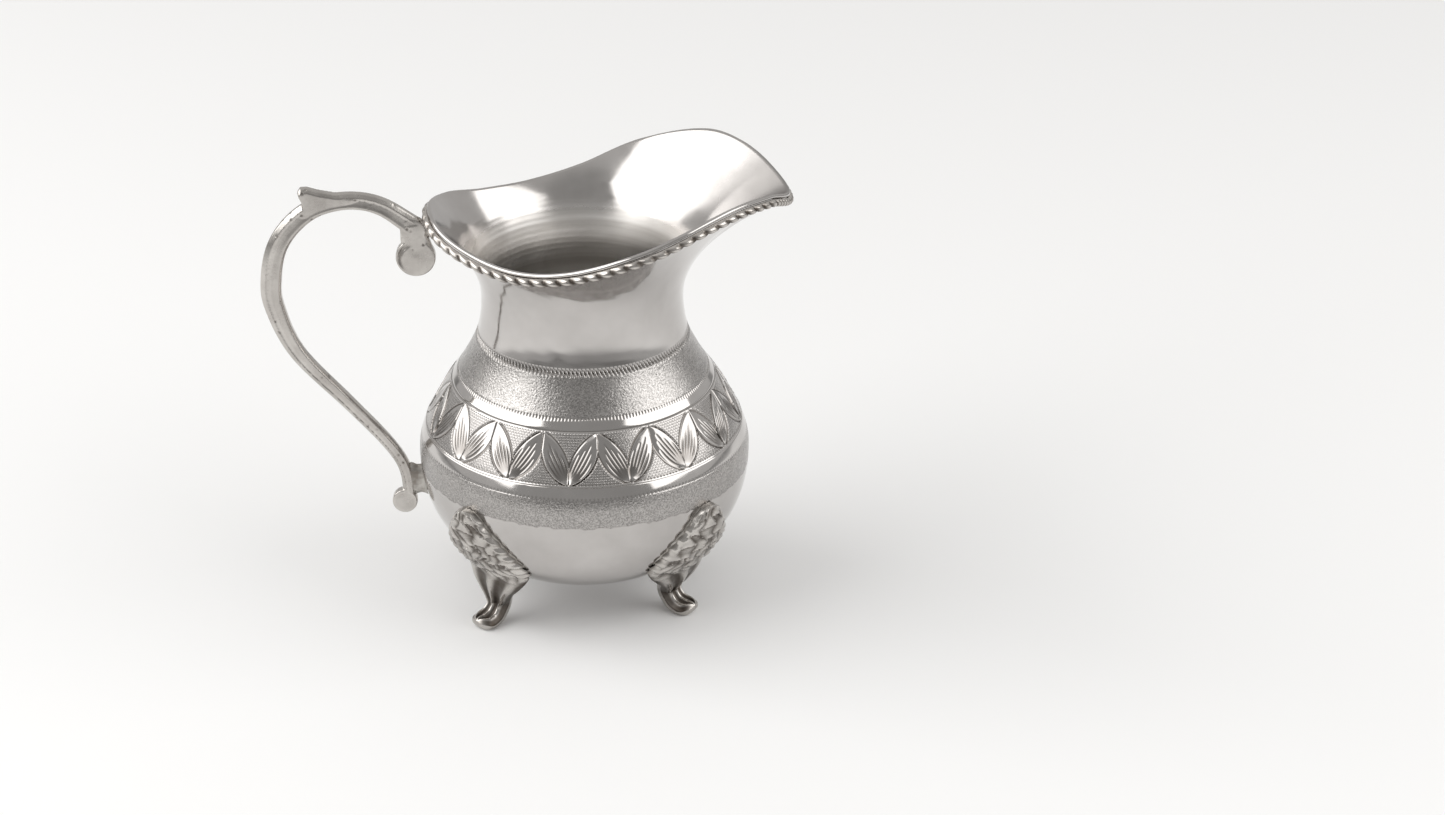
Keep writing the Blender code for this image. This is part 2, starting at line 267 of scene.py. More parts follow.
def rim_points(angle):
    """The sheet's edge at angles round from the spout, as (outward, up)."""
    degrees = np.abs(np.degrees(np.angle(np.exp(1j * angle))))
    return np.stack([curve_through(RIM[:, (0, column)], degrees) for column in (1, 2)], -1)


def lip_directions(angle):
    chord = rim_points(angle) - (NECK_RADIUS, NECK_HEIGHT)
    steepness = np.arctan2(chord[..., 1], chord[..., 0]) - LIP_ROLL
    return np.stack((np.cos(steepness), np.sin(steepness)), -1)


def lip_points(angle, t):
    """The flared lip, from the neck at t = 0 to the sheet's edge at t = 1."""
    start = np.array((NECK_RADIUS, NECK_HEIGHT))
    end = rim_points(angle)
    reach = np.linalg.norm(end - start, axis=-1, keepdims=True)
    leave = np.array((0.0, 1.0)) * reach
    arrive = lip_directions(angle) * reach
    bend = leave * (t**3 - 2 * t**2 + t) + arrive * (t**3 - t**2)
    return start + (end - start) * (3 * t**2 - 2 * t**3) + bend


def directions(rows):
    """Unit steps from each row of points to the next."""
    run = np.gradient(rows, axis=0)
    return run / np.linalg.norm(run, axis=-1, keepdims=True)


def sideways_of(run):
    """Turns directions in a plane by a quarter, to the right."""
    return np.stack((run[..., 1], -run[..., 0]), -1)


def around(angle, outward_up):
    """Points in space from angles round the axis and their (outward, up)."""
    out, up = outward_up[..., 0], outward_up[..., 1]
    return np.stack((out * np.cos(angle), out * np.sin(angle), up + 0 * angle), -1)


def ripple(angle, height, seed, waves=9, longest=26.0, shortest=7.0):
    """A gentle unevenness of the sheet, from -1 to 1, the same all round and the same each run."""
    random = np.random.default_rng(seed)
    total = np.zeros(np.broadcast(angle, height).shape)
    for _ in range(waves):
        round_count = random.integers(2, 26)
        length = random.uniform(shortest, longest)
        start = random.uniform(0, TURN)
        total += np.sin(round_count * angle + TURN * height / length + start)
    return total / waves


def mesh_of(name, points, faces, fields=None, uv=None):
    """An object in the frame from points in millimetres about the body's axis."""
    mesh = bpy.data.meshes.new(name)
    flat = np.asarray(points, float).reshape(-1, 3) * METRES + AXIS
    mesh.from_pydata(flat, [], faces)
    for key, values in (fields or {}).items():
        field = mesh.attributes.new(key, "FLOAT", "POINT")
        field.data.foreach_set("value", np.asarray(values, np.float32).ravel())
    if uv is not None:
        corners = np.zeros(len(mesh.loops), np.int32)
        mesh.loops.foreach_get("vertex_index", corners)
        layer = mesh.uv_layers.new(name="engraving")
        layer.data.foreach_set("uv", np.asarray(uv, np.float32).reshape(-1, 2)[corners].ravel())
    mesh.shade_smooth()
    mesh.set_sharp_from_angle(angle=math.radians(55))
    obj = bpy.data.objects.new(name, mesh)
    bpy.context.scene.collection.objects.link(obj)
    return obj


def grid_faces(rows, columns, wrap_rows=False, caps=False):
    """Quads over a grid of points that is closed round its columns, and its end caps."""
    r = np.arange(rows if wrap_rows else rows - 1)
    c = np.arange(columns)
    lower, left = np.meshgrid(r, c, indexing="ij")
    upper, right = (lower + 1) % rows, (left + 1) % columns
    quads = np.stack((lower * columns + left, lower * columns + right,
                      upper * columns + right, upper * columns + left), -1)
    faces = quads.reshape(-1, 4).tolist()
    if caps:
        faces.append(c[::-1].tolist())
        faces.append((c + (rows - 1) * columns).tolist())
    return faces


def finish_piece(obj, material, slot, *nodes):
    obj.data.materials.clear()
    obj.data.materials.append(material)
    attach(obj, BODY)
    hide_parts(*nodes)
    return obj


# Nodes and materials


class Nodes:
    """A short way to wire one material."""

    def __init__(self, name):
        self.material = bpy.data.materials.new(name)
        self.material.use_nodes = True
        self.tree = self.material.node_tree
        self.shader = self.tree.nodes["Principled BSDF"]
        self.place = self.add("ShaderNodeTexCoord").outputs["Object"]

    def add(self, kind, **values):
        node = self.tree.nodes.new(kind)
        for key, value in values.items():
            setattr(node, key, value)
        return node

    def feed(self, socket, value):
        if isinstance(value, bpy.types.NodeSocket):
            self.tree.links.new(value, socket)
        else:
            socket.default_value = value

    def math(self, operation, *values):
        node = self.add("ShaderNodeMath", operation=operation)
        for socket, value in zip(node.inputs, values):
            self.feed(socket, value)
        return node.outputs[0]

    def field(self, name):
        return self.add("ShaderNodeAttribute", attribute_name=name).outputs["Fac"]

    def noise(self, scale, detail=3.0, rough=0.55, stretch=(1, 1, 1)):
        mapping = self.add("ShaderNodeMapping")
        self.feed(mapping.inputs["Vector"], self.place)
        mapping.inputs["Scale"].default_value = stretch
        node = self.add("ShaderNodeTexNoise")
        self.feed(node.inputs["Vector"], mapping.outputs[0])
        node.inputs["Scale"].default_value = scale
        node.inputs["Detail"].default_value = detail
        node.inputs["Roughness"].default_value = rough
        return node.outputs["Fac"]

    def remap(self, value, low, high, new_low, new_high):
        node = self.add("ShaderNodeMapRange")
        for socket, item in zip(node.inputs, (value, low, high, new_low, new_high)):
            self.feed(socket, item)
        return node.outputs["Result"]

    def blend(self, factor, first, second):
        """A colour between two colours."""
        node = self.add("ShaderNodeMix", data_type="RGBA")
        self.feed(node.inputs[0], factor)
        for socket, color in ((6, first), (7, second)):
            self.feed(node.inputs[socket], (*color, 1) if isinstance(color, tuple) else color)
        return node.outputs[2]

    def bump(self, height, distance, strength=1.0, under=None):
        node = self.add("ShaderNodeBump")
        node.inputs["Strength"].default_value = strength
        node.inputs["Distance"].default_value = distance
        self.feed(node.inputs["Height"], height)
        if under is not None:
            self.feed(node.inputs["Normal"], under)
        return node.outputs["Normal"]

    def done(self, color, roughness, normal):
        self.feed(self.shader.inputs["Base Color"], color)
        self.feed(self.shader.inputs["Roughness"], roughness)
        self.feed(self.shader.inputs["Normal"], normal)
        self.shader.inputs["Metallic"].default_value = 1.0
        return self.material


POLISHED = (0.575, 0.555, 0.54)
WORN = (0.47, 0.45, 0.435)
MATTE = (0.56, 0.54, 0.525)
MATTE_DARK = (0.31, 0.30, 0.29)
# The lining's colours stand well above the outer polish: painted light, standing in for light that
# reaches deep into the jug.
INSIDE_PAINTED_LIGHT = (0.88, 0.86, 0.835)
INSIDE_RINGS_PAINTED_LIGHT = (0.60, 0.575, 0.545)
SPOUT_DULL = (0.30, 0.285, 0.275)
# Dark colour for tarnish in hollows, also used as painted shade on the handle's broad faces.
TARNISH_AND_SHADE_COLOR = (0.085, 0.07, 0.058)
BORDER_BRIGHT = (0.62, 0.59, 0.56)
BORDER_DULL = (0.50, 0.47, 0.44)
CAST_BRIGHT = (0.60, 0.575, 0.545)
CAST_DULL = (0.46, 0.435, 0.41)
SOLDER_BRIGHT = (0.52, 0.50, 0.47)
SOLDER_DULL = (0.27, 0.245, 0.22)


def body_color(n, fields):
    """The body's colour: worn polish, grainy matte bands, dark cuts and a ringed inside, painted
    lighter than the polish as painted light, with a dull, dark lining at the spout.
    """
    color = n.blend(n.remap(n.noise(60, 4, 0.6), 0.35, 0.75, 0, 1), POLISHED, WORN)
    grain = n.remap(n.noise(3300, 2, 0.6), 0.40, 0.60, 0, 1)
    color = n.blend(fields["matte"], color, n.blend(grain, MATTE_DARK, MATTE))
    color = n.blend(n.math("MULTIPLY", fields["tarnish_and_painted_shade"], 0.9), color, TARNISH_AND_SHADE_COLOR)
    rings = n.remap(n.noise(1.0, 3, 0.6, (9, 9, 420)), 0.35, 0.7, 0, 1)
    # Painted light: the inside wall takes the lighter lining colours, with their spinning rings.
    color = n.blend(fields["inside"], color, n.blend(rings, INSIDE_PAINTED_LIGHT, INSIDE_RINGS_PAINTED_LIGHT))
    color = n.blend(n.math("MULTIPLY", fields["dull"], 0.80), color, SPOUT_DULL)
    blotches = n.remap(n.noise(330, 5, 0.7), 0.46, 0.60, 0, 0.65)
    return n.blend(n.math("MULTIPLY", n.field("stain"), blotches), color, WORN)


def body_silver():
    """Polished sheet with spinning marks, stippled bands, punched ground and dark cuts."""
    n = Nodes("body_silver")
    rougher = {"matte": 0.15, "tarnish_and_painted_shade": 0.12, "inside": 0.26, "dull": 0.28}
    fields = {name: n.field(name) for name in rougher}
    roughness = n.remap(n.noise(220, 3, 0.6), 0.3, 0.8, 0.07, 0.16)
    for name, more in rougher.items():
        roughness = n.math("ADD", roughness, n.math("MULTIPLY", fields[name], more))
    lines = n.bump(n.noise(1.0, 4, 0.7, (18, 18, 2600)), 0.000004, 0.5)
    stipple = n.math("MULTIPLY", n.noise(2400, 2, 0.5), fields["matte"])
    stippled = n.bump(stipple, 0.00009, 1.0, lines)
    dashes = n.math("MULTIPLY", punch_marks(n), n.field("ground"))
    punched = n.bump(dashes, 0.00012, 1.0, stippled)
    return n.done(body_color(n, fields), roughness, punched)


def punch_marks(n):
    """Rows of small punched dashes, on the engraving's own coordinates in millimetres."""
    place = n.add("ShaderNodeSeparateXYZ")
    n.feed(place.inputs[0], n.add("ShaderNodeUVMap", uv_map="engraving").outputs[0])
    along, up = place.outputs[0], place.outputs[1]
    row_pitch = 0.55
    dash_pitch = 0.72
    row = n.math("FLOOR", n.math("DIVIDE", up, row_pitch))
    shift = n.math("MULTIPLY", row, 0.33)
    dash = n.math("SINE", n.math("MULTIPLY", n.math("ADD", along, shift), TURN / dash_pitch))
    line = n.math("SINE", n.math("MULTIPLY", up, TURN / row_pitch))
    both = n.math("ADD", dash, line)
    return n.remap(both, 0.2, 1.4, 0, -1)


def relief_silver(name, bright, dull, low_roughness, high_roughness):
    """Cast or rolled relief: bright where it is rubbed, with tarnish held in its hollows, and on the
    handle some painted shade on its broad faces.
    """
    n = Nodes(name)
    tarnish_and_painted_shade = n.field("tarnish_and_painted_shade")
    patches = n.noise(150, 4, 0.6)
    color = n.blend(n.remap(patches, 0.35, 0.7, 0, 1), bright, dull)
    held = n.math("MULTIPLY", tarnish_and_painted_shade, n.remap(patches, 0.2, 0.6, 0.75, 1))
    color = n.blend(held, color, TARNISH_AND_SHADE_COLOR)
    roughness = n.remap(n.noise(420, 3, 0.6), 0.3, 0.75, low_roughness, high_roughness)
    roughness = n.math("ADD", roughness, n.math("MULTIPLY", tarnish_and_painted_shade, 0.2))
    skin = n.bump(n.noise(1500, 4, 0.6), 0.00003, 0.5)
    return n.done(color, roughness, skin)


def solder_metal():
    """Dull, lumpy solder."""
    n = Nodes("solder_metal")
    color = n.blend(n.remap(n.noise(500, 3), 0.35, 0.65, 0, 1), SOLDER_BRIGHT, SOLDER_DULL)
    roughness = n.remap(n.noise(900, 3), 0.3, 0.7, 0.25, 0.5)
    return n.done(color, roughness, n.bump(n.noise(1300, 4), 0.0001, 0.6))


# Turned body


def turned(name, outer, inner, columns, relief, fields=None, poles=False):
    """A closed ring of the body: outer and inner are (outward, up) rows, from low to high."""
    angle = np.arange(columns) * TURN / columns
    outside = np.repeat(outer[:, None, :], columns, 1)
    inside = np.repeat(inner[:, None, :], columns, 1)
    outside = outside + sideways_of(directions(outside)) * relief[..., None]
    rows = np.concatenate((outside, inside[::-1]))
    within = np.ones(inside.shape[:2])
    full = {"inside": np.concatenate((np.zeros(outside.shape[:2]), within))}
    for key, value in (fields or {}).items():
        full[key] = np.concatenate((value, 0 * within))
    along = np.broadcast_to(angle * PUNCHED_RADIUS, rows.shape[:2])
    uv = np.stack((along, rows[..., 1] * LEAF_BAND_SLOPE), -1)
    faces = grid_faces(len(rows), columns, wrap_rows=not poles, caps=poles)
    return mesh_of(name, around(angle, rows), faces, full, uv)


def rows_between(low, high, count):
    z = np.linspace(low, high, count)
    return z, np.stack((body_radius(z), z), -1)


def inner_rows(low, high, count):
    """The inside of the wall between two heights."""
    z, outer = rows_between(low, high, count)
    return outer - body_normal(z) * WALL


def dent(angle, z, where, height, radius, depth):
    """A small round dint knocked into the sheet."""
    sideways = np.angle(np.exp(1j * (angle - math.radians(where)))) * body_radius(z)
    return -depth * np.exp(-(sideways**2 + (z - height) ** 2) / radius**2)


def unevenness(angle, z):
    """How far the hand-finished sheet strays from a true turning."""
    return 0.030 * ripple(angle, z, 4) + 0.010 * ripple(angle, z, 9, 7, 6.0, 2.5)


def lip_edge(end, run, normal):
    """Three rows that round the sheet's edge over from its outside to its inside."""
    corner = 0.12
    return [
        end + run * along - normal * down
        for along, down in ((0.22, corner), (0.32, WALL / 2), (0.22, WALL - corner))
    ]


def lip_fields(angle, height, t):
    """Where the neck and lip are dull or stained, from rows' heights and the outer rows' t."""
    outer_rows = len(t)
    # The lining below the mouth takes the lighter inside colours, which are painted light.
    within = 1 - step_between(79, 85, height)
    from_spout = np.degrees(np.abs(np.angle(np.exp(1j * angle))))
    near_tip = (1 - step_between(6, 34, from_spout)) * step_between(84, 94, height)
    dull = 0.10 + 0.90 * near_tip
    for inner_field in (within, dull):
        inner_field[: outer_rows + 2] = 0
    stain = np.zeros(height.shape)
    stain[:outer_rows] = step_between(0.52, 0.93, t)[:, None]
    return {"inside": within, "dull": dull, "stain": stain}


def neck_and_lip(material):
    """The polished neck and the lip drawn out from it, as one closed sheet."""
    columns = 512
    angle = np.arange(columns) * TURN / columns
    neck_rows = 10
    lip_t = np.linspace(0, 1, 56)
    _, neck = rows_between(WRIGGLE_TOP, NECK_HEIGHT, neck_rows)
    neck = np.repeat(neck[:-1, None, :], columns, 1)
    lip = np.stack([lip_points(angle, t) for t in lip_t])
    outer = np.concatenate((neck, lip))
    run = directions(outer)
    normal = sideways_of(run)
    edge = lip_edge(outer[-1], run[-1], normal[-1])
    z = outer[..., 1]
    fade = step_between(WRIGGLE_TOP, WRIGGLE_TOP + 3, z)
    waves = unevenness(angle, z) * (0.35 + 0.65 * fade)
    waves += dent(angle, z, 258, 67.6, 1.3, 0.09)
    spinning = 0.012 * np.sin(TURN * z / 1.15) * (1 - step_between(80, 86, z))
    inner = outer + normal * (waves + spinning - WALL)[..., None]
    outer = outer + normal * waves[..., None]
    rows = np.concatenate((outer, np.array(edge), inner[::-1]))
    t = np.concatenate((np.zeros(neck_rows - 1), lip_t))
    fields = lip_fields(angle, rows[..., 1], t)
    faces = grid_faces(len(rows), columns, wrap_rows=True)
    uv = np.zeros((rows[..., 0].size, 2))
    obj = mesh_of("neck_and_lip", around(angle, rows), faces, fields, uv)
    return finish_piece(obj, material, "spun_silver", "body_upper_shell")


def dot_row(angle, height, count, middle, lean, half_height):
    """A ring of small leaning dots, from 0 between them to 1 on them."""
    dots = np.clip(np.cos(count * angle + lean * (height - middle)), 0, 1) ** 0.8
    return dots * hump(height, middle, half_height)


def upper_matte_band(material):
    """The stippled band, with its wriggle-cut upper edge and dotted lower edge."""
    columns = 1152
    angle = np.arange(columns) * TURN / columns
    z, outer = rows_between(LEAF_BAND_TOP, WRIGGLE_TOP, 62)
    height = z[:, None]
    slant = (height - WRIGGLE) * WRIGGLE_LEAN
    wave = np.cos(WRIGGLE_COUNT * angle + slant * TURN / WRIGGLE_PITCH)
    wriggle = step_between(-0.2, 0.7, wave) * hump(height, WRIGGLE, 0.98) ** 0.5
    dots = dot_row(angle, height, UPPER_DOT_COUNT, UPPER_DOTS, 1.2, 0.45)
    top_line = hump(height, LEAF_BAND_TOP, 0.28) + 0 * angle
    relief = -0.34 * wriggle - 0.16 * dots - 0.14 * top_line + 0.35 * unevenness(angle, height)
    matte = step_between(UPPER_DOTS + 0.1, UPPER_DOTS + 0.5, height)
    matte = matte * (1 - step_between(WRIGGLE - 0.3, WRIGGLE + 0.3, height + 0.25 * wave))
    tarnish_and_painted_shade = np.clip(0.95 * wriggle + 0.8 * dots + 0.8 * top_line**2 + 0.10 * matte, 0, 1)
    fields = {"matte": matte + 0 * angle, "tarnish_and_painted_shade": tarnish_and_painted_shade}
    inner = inner_rows(LEAF_BAND_TOP, WRIGGLE_TOP, 8)
    obj = turned("upper_matte_band", outer, inner, columns, relief, fields)
    return finish_piece(obj, material, "engraved_silver", "body_upper_shell")


def leaf_veins(t, across, half, body):
    """Tapered cuts that fan up each leaf from its lower end."""
    veins = 0 * body
    for place, end in LEAF_VEINS:
        span = np.clip((t - 0.10) / (end - 0.10), 0, 1)
        depth = np.sin(math.pi * span) ** 0.6
        veins += depth * hump(across, place * half, 0.32 + 0.26 * (1 - span))
    return np.clip(veins, 0, 1) * body


def leaf_cut(angle, z):
    """Relief, ground mask and dirt of the zigzag of bright-cut leaves."""
    cell = TURN / (2 * LEAF_PAIRS)
    width = cell * LEAF_BAND_RADIUS
    height = (LEAF_BAND_TOP - LEAF_BAND_FOOT) * LEAF_BAND_SLOPE
    turns = (angle - FIRST_LEAF) / cell
    number = np.floor(turns)
    fraction = turns - number
    x = np.where(number % 2 > 0, 1 - fraction, fraction) * width
    y = (z - LEAF_BAND_FOOT) * LEAF_BAND_SLOPE
    rise = height - 2 * LEAF_MARGIN
    length = math.hypot(width, rise)
    t = (x * width + (y - LEAF_MARGIN) * rise) / length**2
    across = (x * rise - (y - LEAF_MARGIN) * width) / length
    half = LEAF_HALF_WIDTH * np.clip(4 * t * (1 - t), 1e-4, 1) ** 0.8
    b = across / half
    within_length = (t > 0) & (t < 1)
    leaf = (np.abs(b) < 1) & within_length
    body = step_between(0.0, 0.3, half - np.abs(across)) * within_length
    tilt = LEAF_TILTS[(number % len(LEAF_TILTS)).astype(int)]
    surface = body * (-0.03 + 0.13 * (1 - b**2) + tilt * np.clip(b, -1, 1))
    veins = leaf_veins(t, across, half, body)
    outline = hump(np.abs(across) - half, 0.0, 0.36) * ((t > -0.01) & (t < 1.01))
    seam = hump(x, 0, 0.20) * (y < 0.42 * height) + hump(x, width, 0.20) * (y > 0.66 * height)
    outline = np.clip(outline + 0.8 * seam, 0, 1)
    relief = surface - 0.20 * veins - 0.26 * outline
    ground = (~leaf) * (1 - np.clip(outline * 1.5, 0, 1))
    tarnish_and_painted_shade = np.clip(outline**1.2 + 0.85 * veins**1.2 + 0.10 * body, 0, 1)
    return relief, ground, tarnish_and_painted_shade


def leaf_band(material):
    columns = 1152
    angle = np.arange(columns) * TURN / columns
    z, outer = rows_between(LEAF_BAND_FOOT, LEAF_BAND_TOP, 72)
    height = z[:, None]
    relief, ground, tarnish_and_painted_shade = leaf_cut(angle, height)
    ends = step_between(LEAF_BAND_FOOT + 0.25, LEAF_BAND_FOOT + 0.6, height)
    ends = ends * (1 - step_between(LEAF_BAND_TOP - 0.6, LEAF_BAND_TOP - 0.25, height))
    top_line = hump(height, LEAF_BAND_TOP, 0.28)
    bead = hump(height, LEAF_BAND_FOOT + 0.10, 0.34)
    relief = relief * ends - 0.10 * top_line + 0.12 * bead + 0.3 * unevenness(angle, height)
    ground = ground * ends
    tarnish_and_painted_shade = np.clip(tarnish_and_painted_shade * ends + 0.5 * top_line**2 + 0.16 * ground, 0, 1)
    tarnish_and_painted_shade = np.clip(tarnish_and_painted_shade + 0.5 * hump(height, LEAF_BAND_FOOT + 0.50, 0.22), 0, 1)
    fields = {"ground": ground, "tarnish_and_painted_shade": tarnish_and_painted_shade, "matte": 0.45 * ground}
    inner = inner_rows(LEAF_BAND_FOOT, LEAF_BAND_TOP, 8)
    obj = turned("leaf_band", outer, inner, columns, relief, fields)
    return finish_piece(obj, material, "engraved_silver", "body_upper_shell")


def lower_matte_band(material):
    """The bowl's stippled band: a fine dotted line above and a ragged edge below."""
    columns = 1152
    angle = np.arange(columns) * TURN / columns
    z, outer = rows_between(LOWER_MATTE_EDGE - 0.6, SEAM_HEIGHT, 58)
    height = z[:, None]
    dots = dot_row(angle, height, LOWER_DOT_COUNT, LOWER_DOTS, 1.5, 0.40)
    random = np.random.default_rng(31)
    teeth = np.interp(angle / TURN * 240, np.arange(241), random.uniform(-0.22, 0.34, 241))
    ragged = step_between(0.0, 0.22, height - LOWER_MATTE_EDGE - teeth)
    matte = ragged * (1 - step_between(LOWER_DOTS - 0.5, LOWER_DOTS - 0.1, height))
    seam = hump(height, SEAM_HEIGHT, 0.22)
    relief = -0.05 * dots - 0.10 * seam - 0.02 * matte + 0.5 * unevenness(angle, height)
    relief = relief + dent(angle, height, 251, 41.0, 1.0, 0.08)
    edge = hump(height - LOWER_MATTE_EDGE - teeth, 0.15, 0.22)
    tarnish_and_painted_shade = np.clip(0.5 * dots + 0.55 * seam + 0.25 * edge + 0.16 * matte, 0, 1)
    fields = {"matte": matte, "tarnish_and_painted_shade": tarnish_and_painted_shade}
    inner = inner_rows(LOWER_MATTE_EDGE - 0.6, SEAM_HEIGHT, 8)
    obj = turned("lower_matte_band", outer, inner, columns, relief, fields)
    return finish_piece(obj, material, "spun_silver", "body_lower_bowl")


def bowl_bottom(material):
    """The polished underside of the bowl."""
    columns = 512
    angle = np.arange(columns) * TURN / columns
    top = LOWER_MATTE_EDGE - 0.6
    rising = 1 - np.cos(np.linspace(0, math.pi / 2, 56)) ** 1.2
    z = np.minimum(BASE_HEIGHT + 1e-4 + (top - BASE_HEIGHT) * rising, top)
    outer = np.stack((np.maximum(body_radius(z), 0.05), z), -1)
    inner = outer - body_normal(np.maximum(z, BASE_HEIGHT + 0.8)) * WALL
    inner[:, 0] = np.maximum(inner[:, 0], 0.04)
    inner[:, 1] = np.maximum(inner[:, 1], BASE_HEIGHT + WALL)
    relief = unevenness(angle, z[:, None]) * step_between(0, 6, outer[:, :1])
    obj = turned("bowl_bottom", outer, inner, columns, relief, poles=True)
    return finish_piece(obj, material, "spun_silver", "body_lower_bowl")


# Border


def border_phase(steps):
    """How many lobes have gone by at each step round the rim: they crowd together at the spout."""
    travelled = np.cumsum(steps) - steps
    from_spout = np.minimum(travelled, steps.sum() - travelled)
    crowding = 1 + 1.5 * (1 - step_between(7.0, 11.0, from_spout))
    phase = np.cumsum(steps * crowding)
    return phase / phase[-1] * round(phase[-1] / LOBE_PITCH), crowding


def rim_border(material):
    """The gadroon wire: slanting lobes swept round the outside of the lip."""
    columns = 1800
    sides = 22
    angle = np.arange(columns) * TURN / columns
    rim = rim_points(angle)
    run = lip_directions(angle)
    outward = sideways_of(run)
    edge = around(angle, rim)
    steps = np.linalg.norm(np.roll(edge, -1, 0) - edge, axis=1)
    phase, crowding = border_phase(steps)
    centre = rim - run * (BORDER_RADIUS * 0.55) + outward * BORDER_RADIUS
    held = 2.3 * (0.75 + 0.35 * np.cos(angle + 0.7))
    rows = []
    tarnish_and_painted_shade = []
    for i in range(sides):
        turn = TURN * i / sides
        side, up = math.cos(turn), math.sin(turn)
        lobe = np.abs(np.sin(math.pi * (phase + 0.20 * up - 0.10 * side))) ** 0.6
        lobed = step_between(-0.75, 0.0, side) * (0.35 + 0.65 / crowding**1.5)
        size = BORDER_RADIUS * (0.92 - 0.50 * lobed * (1 - lobe))
        rows.append(around(angle, centre + size[:, None] * (outward * side + run * up)))
        tarnish_and_painted_shade.append(np.clip(lobed * (1 - lobe) * held, 0, 1))
    points = np.array(rows)
    faces = grid_faces(sides, columns, wrap_rows=True)
    obj = mesh_of("rim_border", points, faces, {"tarnish_and_painted_shade": np.array(tarnish_and_painted_shade)})
    face_outwards(obj)
    return finish_piece(obj, material, "border_silver", "rim_border")


def face_outwards(obj):
    """Turns the mesh's faces to point out of it, if they point in."""
    mesh = obj.data
    points = np.array([v.co for v in mesh.vertices])
    mesh.calc_loop_triangles()
    corners = np.zeros(len(mesh.loop_triangles) * 3, np.int32)
    mesh.loop_triangles.foreach_get("vertices", corners)
    if np.linalg.det(points[corners.reshape(-1, 3)] - points.mean(0)).sum() < 0:
        mesh.flip_normals()


# Handle


def handle_band():
    """The swept band of the scroll as (points, faces): a soft-edged bar that tapers to its tail."""
    rows = 240
    at = np.linspace(0, len(HANDLE) - 1, rows)
    index = np.arange(len(HANDLE))
    x, z, thick = (curve_through(np.stack((index, HANDLE[:, c]), -1), at, False) for c in range(3))
    side = -sideways_of(directions(np.stack((x, z), -1)))
    across, depth = BAND_SECTION.T
    across = np.concatenate((across, across[::-1]))
    depth = np.concatenate((depth, -depth[::-1]))
    points = np.zeros((rows, len(across), 3))
    points[..., 0] = x[:, None] + side[:, :1] * across * thick[:, None] / 2
    points[..., 2] = z[:, None] + side[:, 1:] * across * thick[:, None] / 2
    points[..., 1] = depth * HANDLE_WIDTH / 2
    return points.reshape(-1, 3), grid_faces(rows, len(across), caps=True)


def pebble(centre_x, centre_z, radius, half_width):
    """A flat round boss with softened edges, as (points, faces)."""
    sides = 64
    turn = np.arange(sides) * TURN / sides
    rows = []
    for lift in np.linspace(-1, 1, 17):
        reach = (1 - abs(lift) ** 3.4) ** (1 / 3.4)
        spread = radius * max(0.82 + 0.18 * reach if abs(lift) < 1 else 0.0, 0.001)
        depth = np.full(sides, half_width * lift)
        x = centre_x + spread * np.cos(turn)
        z = centre_z + spread * np.sin(turn)
        rows.append(np.stack((x, depth, z), -1))
    return np.array(rows).reshape(-1, 3), grid_faces(len(rows), sides, caps=True)


def tapered_bar(start, end, start_radius, end_radius, half_width):
    """A soft bar in the handle's plane that narrows from start to end, as (points, faces)."""
    rows = 16
    sides = 24
    turn = np.arange(sides) * TURN / sides
    t = np.linspace(0, 1, rows)[:, None]
    start, end = np.array(start, float), np.array(end, float)
    line = start + (end - start) * t
    way = (end - start) / np.linalg.norm(end - start)
    side = np.array((-way[1], way[0]))
    radius = start_radius + (end_radius - start_radius) * t
    square = 2 / 3
    across = np.sign(np.cos(turn)) * np.abs(np.cos(turn)) ** square
    depth = np.sign(np.sin(turn)) * np.abs(np.sin(turn)) ** square
    points = np.zeros((rows, sides, 3))
    points[..., 0] = line[:, :1] + side[0] * across * radius
    points[..., 2] = line[:, 1:] + side[1] * across * radius
    points[..., 1] = depth * half_width * (1 - 0.06 * t)
    return points.reshape(-1, 3), grid_faces(rows, sides, caps=True)


def bevelled_plate(outline, half_width):
    """A plate in the handle's plane whose upper edges are bevelled, as (points, faces)."""
    rows = []
    for lift, drop in ((-0.93, 0.85), (-0.50, 0.0), (0.50, 0.0), (0.93, 0.85)):
        x, z = (outline + np.array((0.3, -1.0)) * drop).T
        rows.append(np.stack((x, np.full(len(x), half_width * lift), z), -1))
    return np.array(rows).reshape(-1, 3), grid_faces(len(rows), len(outline), caps=True)


def fused(name, shapes, voxel, passes):
    """Several closed shapes made one skin, softened as a casting is. Returns its mesh."""
    points = []
    faces = []
    for more_points, more_faces in shapes:
        start = sum(len(p) for p in points)
        points.append(more_points)
        faces.extend([[i + start for i in face] for face in more_faces])
    rough = mesh_of(name + "_rough", np.concatenate(points), faces)
    remesh = rough.modifiers.new("Fuse", "REMESH")
    remesh.mode = "VOXEL"
    remesh.voxel_size = voxel * METRES
    soften = rough.modifiers.new("Soften", "SMOOTH")
    soften.factor = 0.5
    soften.iterations = passes
    bpy.context.view_layer.update()
    graph = bpy.context.evaluated_depsgraph_get()
    mesh = bpy.data.meshes.new_from_object(rough.evaluated_get(graph), depsgraph=graph)
    bpy.data.objects.remove(rough, do_unlink=True)
    mesh.name = name
    obj = bpy.data.objects.new(name, mesh)
    bpy.context.scene.collection.objects.link(obj)
    return obj


def points_of(obj):
    """A mesh's points and normals, in millimetres about the body's axis."""
    mesh = obj.data
    points = np.zeros(len(mesh.vertices) * 3, np.float32)
    mesh.vertices.foreach_get("co", points)
    normals = np.zeros(len(mesh.vertices) * 3, np.float32)
    mesh.vertex_normals.foreach_get("vector", normals)
    return (points.reshape(-1, 3) - AXIS) / METRES, normals.reshape(-1, 3).astype(float)


